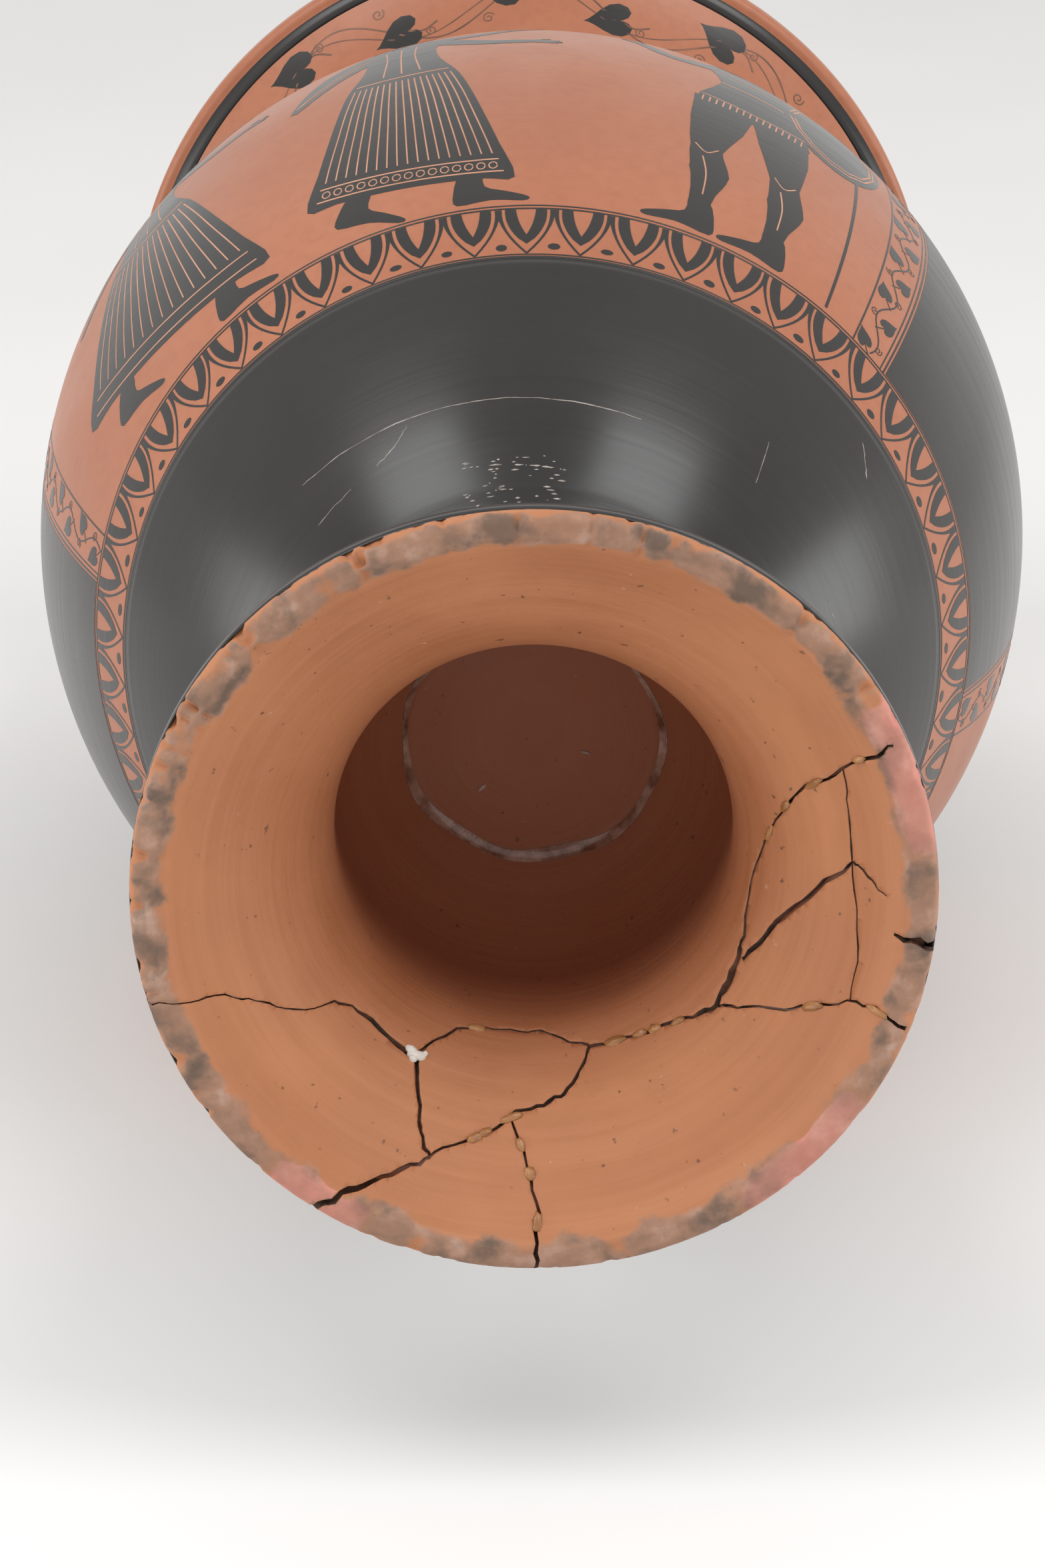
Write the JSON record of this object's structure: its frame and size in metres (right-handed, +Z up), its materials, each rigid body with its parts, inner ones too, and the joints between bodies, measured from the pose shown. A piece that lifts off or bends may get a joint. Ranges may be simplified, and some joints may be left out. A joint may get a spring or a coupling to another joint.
{
  "type": "greek krater",
  "caption": "Tall fired-clay krater on a hollow trumpet foot, with scroll handles and black-figure painting between ivy borders, for mixing or display.",
  "frame": {"origin": "centre of the foot's resting ring, at the bottom", "axes": "+Z up the vessel's axis, -Y towards the painted front, handles on +X and -X"},
  "size_m": [0.3166, 0.3166, 0.661],
  "materials": {
    "black_slip": "glossy black slip with fine wheel lines and hairline scratches",
    "red_clay": "smooth burnished orange-red clay, dirty and worn under the foot",
    "repair_fill": "matt plaster and tinted filler in the mended foot",
    "old_glue": "hard amber glue beads along the mended breaks"
  },
  "bodies": {
    "root": {"krater": "black_slip"}
  },
  "joints": []
}
